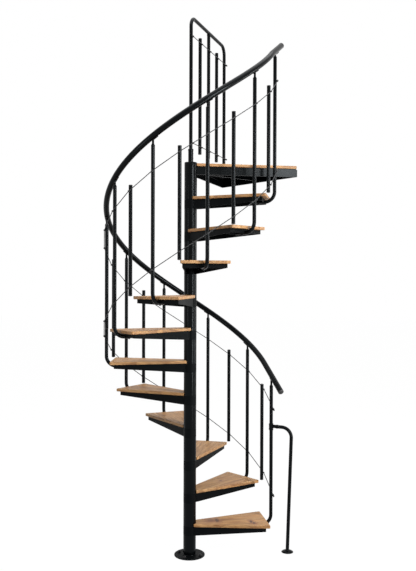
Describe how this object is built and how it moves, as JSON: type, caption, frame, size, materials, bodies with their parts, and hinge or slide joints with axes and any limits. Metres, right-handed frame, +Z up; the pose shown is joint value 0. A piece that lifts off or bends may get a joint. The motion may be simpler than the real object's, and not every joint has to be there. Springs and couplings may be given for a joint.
{
  "type": "spiral staircase",
  "caption": "Spiral staircase with oak treads on black steel brackets round a centre column, a curved tube handrail, wire ropes and a three-cornered landing with a guard.",
  "frame": {"origin": "on the finished floor, on the axis of the centre column", "axes": "+Z up the centre column; +X is 8.2 degrees clockwise of the lowest tread, +Y points away from the side the stair is seen from"},
  "size_m": [1.3801, 1.3374, 3.8115],
  "materials": {
    "black_steel": "satin powder coat",
    "oak": "clear matt lacquer",
    "steel_rope": "stranded stainless wire",
    "black_plastic": "fine matt"
  },
  "bodies": {
    "root": {"floor_flange": "black_steel", "centre_pole": "black_steel", "column_spacers": "black_steel", "tread_01": "oak", "tread_02": "oak", "tread_03": "oak", "tread_04": "oak", "tread_05": "oak", "tread_06": "oak", "tread_07": "oak", "tread_08": "oak", "tread_09": "oak", "tread_10": "oak", "tread_11": "oak", "tread_bracket_01": "black_steel", "tread_bracket_02": "black_steel", "tread_bracket_03": "black_steel", "tread_bracket_04": "black_steel", "tread_bracket_05": "black_steel", "tread_bracket_06": "black_steel", "tread_bracket_07": "black_steel", "tread_bracket_08": "black_steel", "tread_bracket_09": "black_steel", "tread_bracket_10": "black_steel", "tread_bracket_11": "black_steel", "long_balusters": "black_steel", "short_balusters": "black_steel", "handrail": "black_steel", "handrail_saddles": "black_steel", "upper_rope": "steel_rope", "lower_rope": "steel_rope", "rope_holders": "black_plastic", "rope_stops": "black_plastic", "support_post": "black_steel", "support_clamp": "black_steel", "landing_board": "oak", "landing_frame": "black_steel", "column_cap": "black_steel", "guard_frame": "black_steel", "guard_rods": "black_steel", "guard_ropes": "steel_rope", "guard_rope_holders": "black_plastic", "guard_rope_stops": "black_plastic"}
  },
  "joints": []
}
